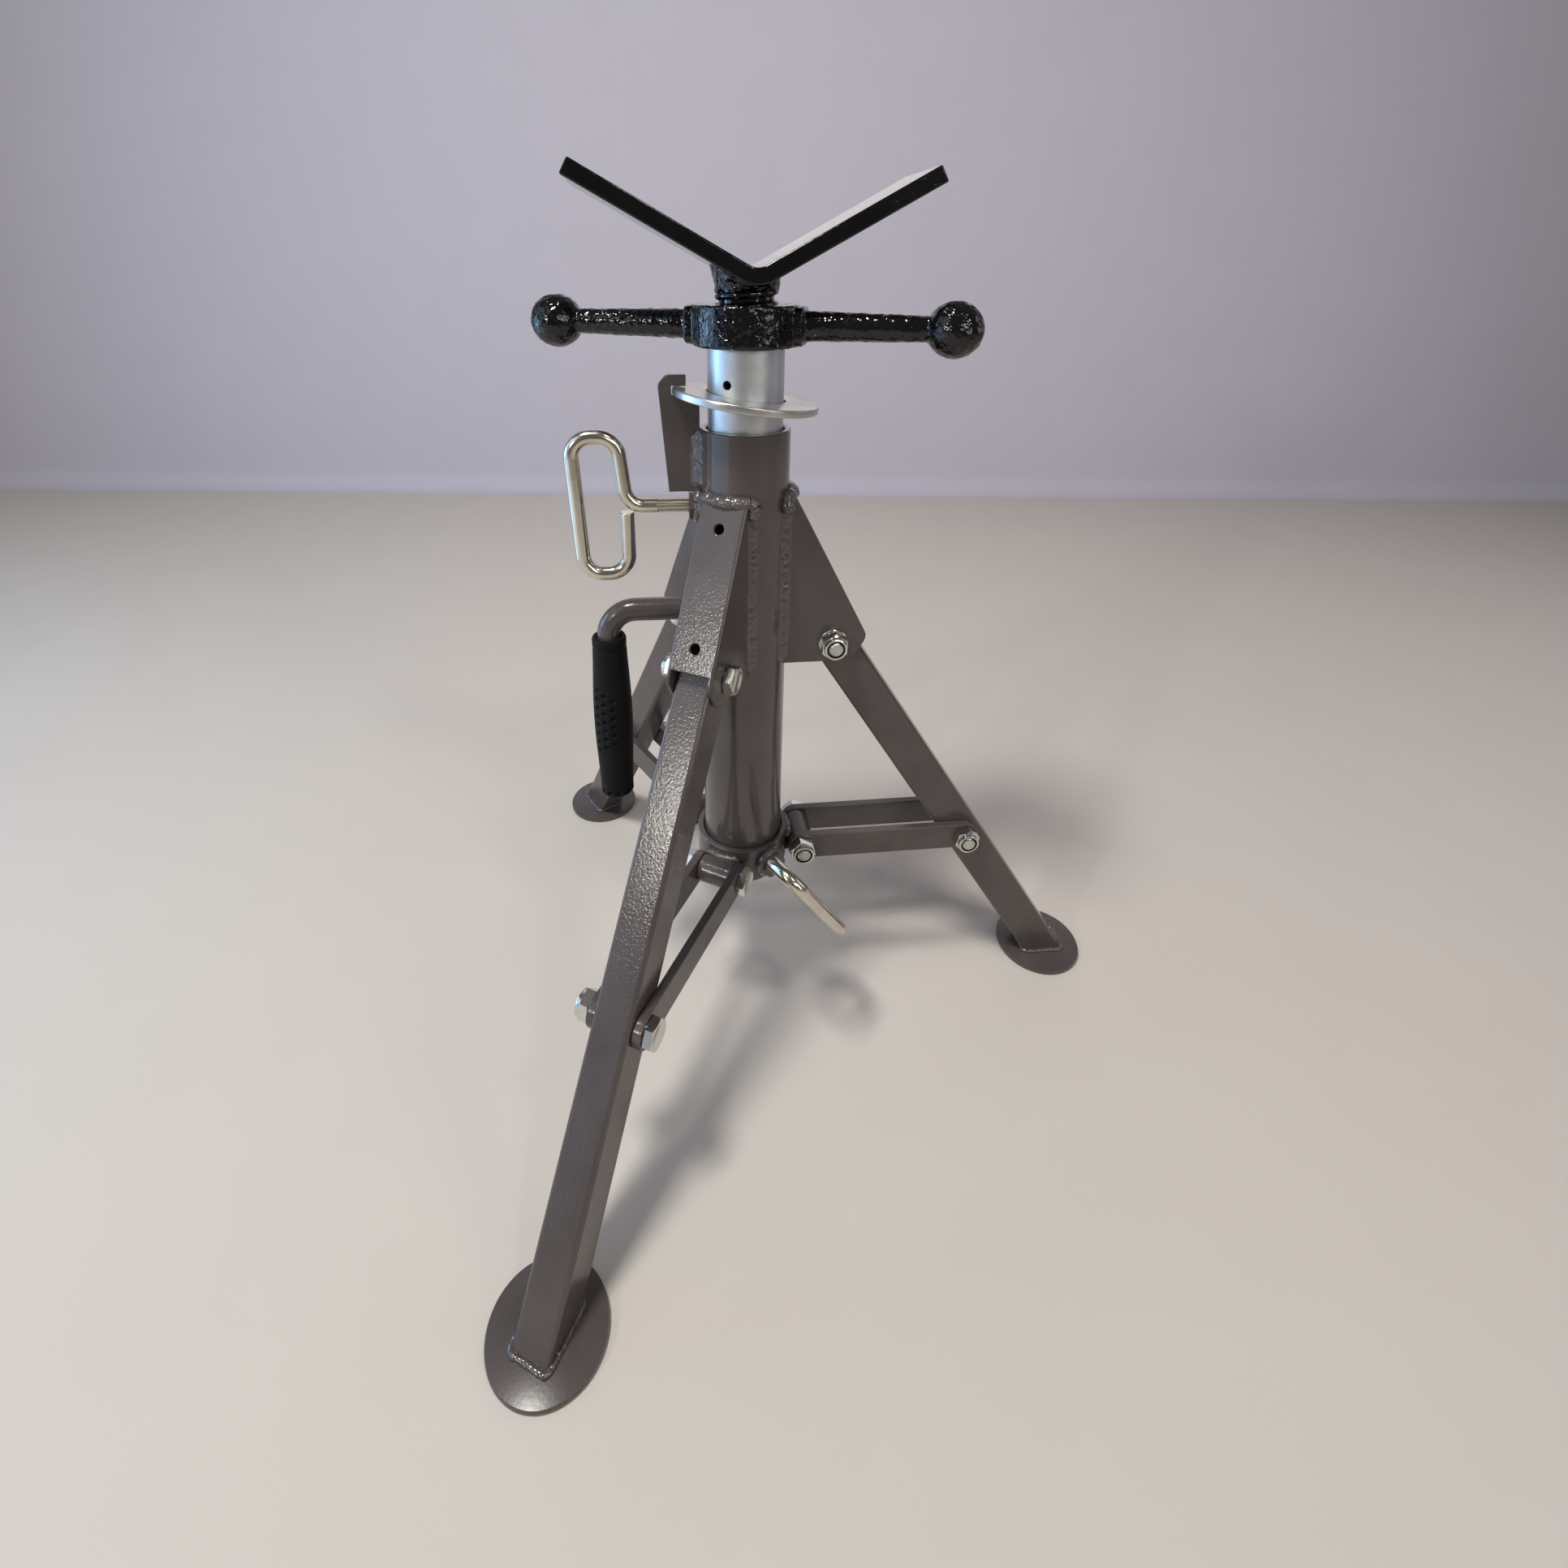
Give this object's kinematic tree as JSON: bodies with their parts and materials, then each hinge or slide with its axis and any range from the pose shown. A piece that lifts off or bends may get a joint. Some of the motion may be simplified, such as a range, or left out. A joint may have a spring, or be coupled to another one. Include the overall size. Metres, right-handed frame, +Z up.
{
  "type": "pipe jack stand",
  "caption": "Low folding pipe jack stand: V head on a screw with an armed hand nut, sliding mast with friction plate and lock screw, and a folding tripod.",
  "frame": {"origin": "on the floor at the middle of the three feet's bounding box", "axes": "+Z up along the post, the front leg points along -Y"},
  "size_m": [0.5374, 0.4748, 0.6329],
  "materials": {
    "frame_paint": "satin",
    "black_enamel": "gloss",
    "bright_zinc": "gloss",
    "satin_zinc": "satin",
    "black_rubber": "matte"
  },
  "bodies": {
    "post": {"post_tube": "frame_paint", "leg_bracket_front": "frame_paint", "leg_bracket_right": "frame_paint", "leg_bracket_left": "frame_paint", "clutch_bracket": "frame_paint", "lock_boss": "frame_paint", "carry_handle": "frame_paint", "handle_grip": "black_rubber", "pivot_bolt_front": "bright_zinc", "pivot_bolt_right": "bright_zinc", "pivot_bolt_left": "bright_zinc", "pivot_nut_front": "bright_zinc", "pivot_nut_right": "bright_zinc", "pivot_nut_left": "bright_zinc", "pivot_washer_front": "bright_zinc", "pivot_washer_right": "bright_zinc", "pivot_washer_left": "bright_zinc"},
    "mast": {"mast_tube": "satin_zinc"},
    "hand_nut": {"hand_nut": "black_enamel"},
    "head": {"v_head": "black_enamel", "lift_screw": "black_enamel"},
    "clutch_plate": {"clutch_plate": "bright_zinc"},
    "lock_screw": {"lock_screw": "bright_zinc"},
    "collar": {"collar_ring": "frame_paint", "collar_bush_front": "frame_paint", "collar_bush_right": "frame_paint", "collar_bush_left": "frame_paint", "collar_boss": "frame_paint", "collar_bolt_front": "bright_zinc", "collar_bolt_right": "bright_zinc", "collar_bolt_left": "bright_zinc", "collar_nut_front": "bright_zinc", "collar_nut_right": "bright_zinc", "collar_nut_left": "bright_zinc"},
    "collar_screw": {"collar_screw": "bright_zinc"},
    "leg_front": {"leg_front": "frame_paint", "foot_front": "frame_paint", "link_pin_front": "bright_zinc"},
    "links_front": {"link_front_near": "frame_paint", "link_front_far": "frame_paint", "link_bolt_front": "bright_zinc", "link_nut_front": "bright_zinc"},
    "leg_right": {"leg_right": "frame_paint", "foot_right": "frame_paint", "link_pin_right": "bright_zinc"},
    "links_right": {"link_right_near": "frame_paint", "link_right_far": "frame_paint", "link_bolt_right": "bright_zinc", "link_nut_right": "bright_zinc"},
    "leg_left": {"leg_left": "frame_paint", "foot_left": "frame_paint", "link_pin_left": "bright_zinc"},
    "links_left": {"link_left_near": "frame_paint", "link_left_far": "frame_paint", "link_bolt_left": "bright_zinc", "link_nut_left": "bright_zinc"}
  },
  "joints": [
    {"name": "mast_slide", "type": "slide", "parent": "post", "child": "mast", "axis": [0, 0, 1], "range_m": [-0.015, 0.2]},
    {"name": "nut_spin", "type": "hinge", "parent": "mast", "child": "hand_nut", "pos_m": [0, 0.06744, 0.5295], "axis": [0, 0, 1], "range_deg": [-5142.86, 0]},
    {"name": "head_lift", "type": "slide", "parent": "mast", "child": "head", "axis": [0, 0, 1], "range_m": [0, 0.1001]},
    {"name": "clutch_tilt", "type": "hinge", "parent": "post", "child": "clutch_plate", "pos_m": [-0.03854, 0.04519, 0.50152], "axis": [0.5, -0.866, 0], "range_deg": [0, 7.7]},
    {"name": "lock_screw_turn", "type": "hinge", "parent": "post", "child": "lock_screw", "pos_m": [-0.02598, 0.05244, 0.424], "axis": [-0.866, -0.5, 0], "range_deg": [0, 720]},
    {"name": "collar_slide", "type": "slide", "parent": "post", "child": "collar", "axis": [0, 0, 1], "range_m": [0, 0.09337]},
    {"name": "collar_screw_turn", "type": "hinge", "parent": "collar", "child": "collar_screw", "pos_m": [0.03464, 0.04744, 0.1433], "axis": [0.866, -0.5, 0], "range_deg": [0, 720]},
    {"name": "leg_fold_front", "type": "hinge", "parent": "post", "child": "leg_front", "pos_m": [0, 0.00484, 0.323], "axis": [1, 0, 0], "range_deg": [0, 26.05]},
    {"name": "link_swing_front", "type": "hinge", "parent": "collar", "child": "links_front", "pos_m": [0, 0.02169, 0.1433], "axis": [1, 0, 0], "range_deg": [0, 71.21]},
    {"name": "leg_fold_right", "type": "hinge", "parent": "post", "child": "leg_right", "pos_m": [0.05421, 0.09874, 0.323], "axis": [-0.5, 0.866, 0], "range_deg": [0, 26.05]},
    {"name": "link_swing_right", "type": "hinge", "parent": "collar", "child": "links_right", "pos_m": [0.03962, 0.09032, 0.1433], "axis": [-0.5, 0.866, 0], "range_deg": [0, 71.21]},
    {"name": "leg_fold_left", "type": "hinge", "parent": "post", "child": "leg_left", "pos_m": [-0.05421, 0.09874, 0.323], "axis": [-0.5, -0.866, 0], "range_deg": [0, 26.05]},
    {"name": "link_swing_left", "type": "hinge", "parent": "collar", "child": "links_left", "pos_m": [-0.03962, 0.09032, 0.1433], "axis": [-0.5, -0.866, 0], "range_deg": [0, 71.21]}
  ],
  "couplings": [
    {"joint": "head_lift", "follows": "nut_spin", "m_per_rad": -0.0011141},
    {"joint": "leg_fold_front", "follows": "collar_slide", "rad_per_m": 4.86},
    {"joint": "link_swing_front", "follows": "collar_slide", "rad_per_m": 13.301},
    {"joint": "leg_fold_right", "follows": "collar_slide", "rad_per_m": 4.86},
    {"joint": "link_swing_right", "follows": "collar_slide", "rad_per_m": 13.301},
    {"joint": "leg_fold_left", "follows": "collar_slide", "rad_per_m": 4.86},
    {"joint": "link_swing_left", "follows": "collar_slide", "rad_per_m": 13.301}
  ]
}
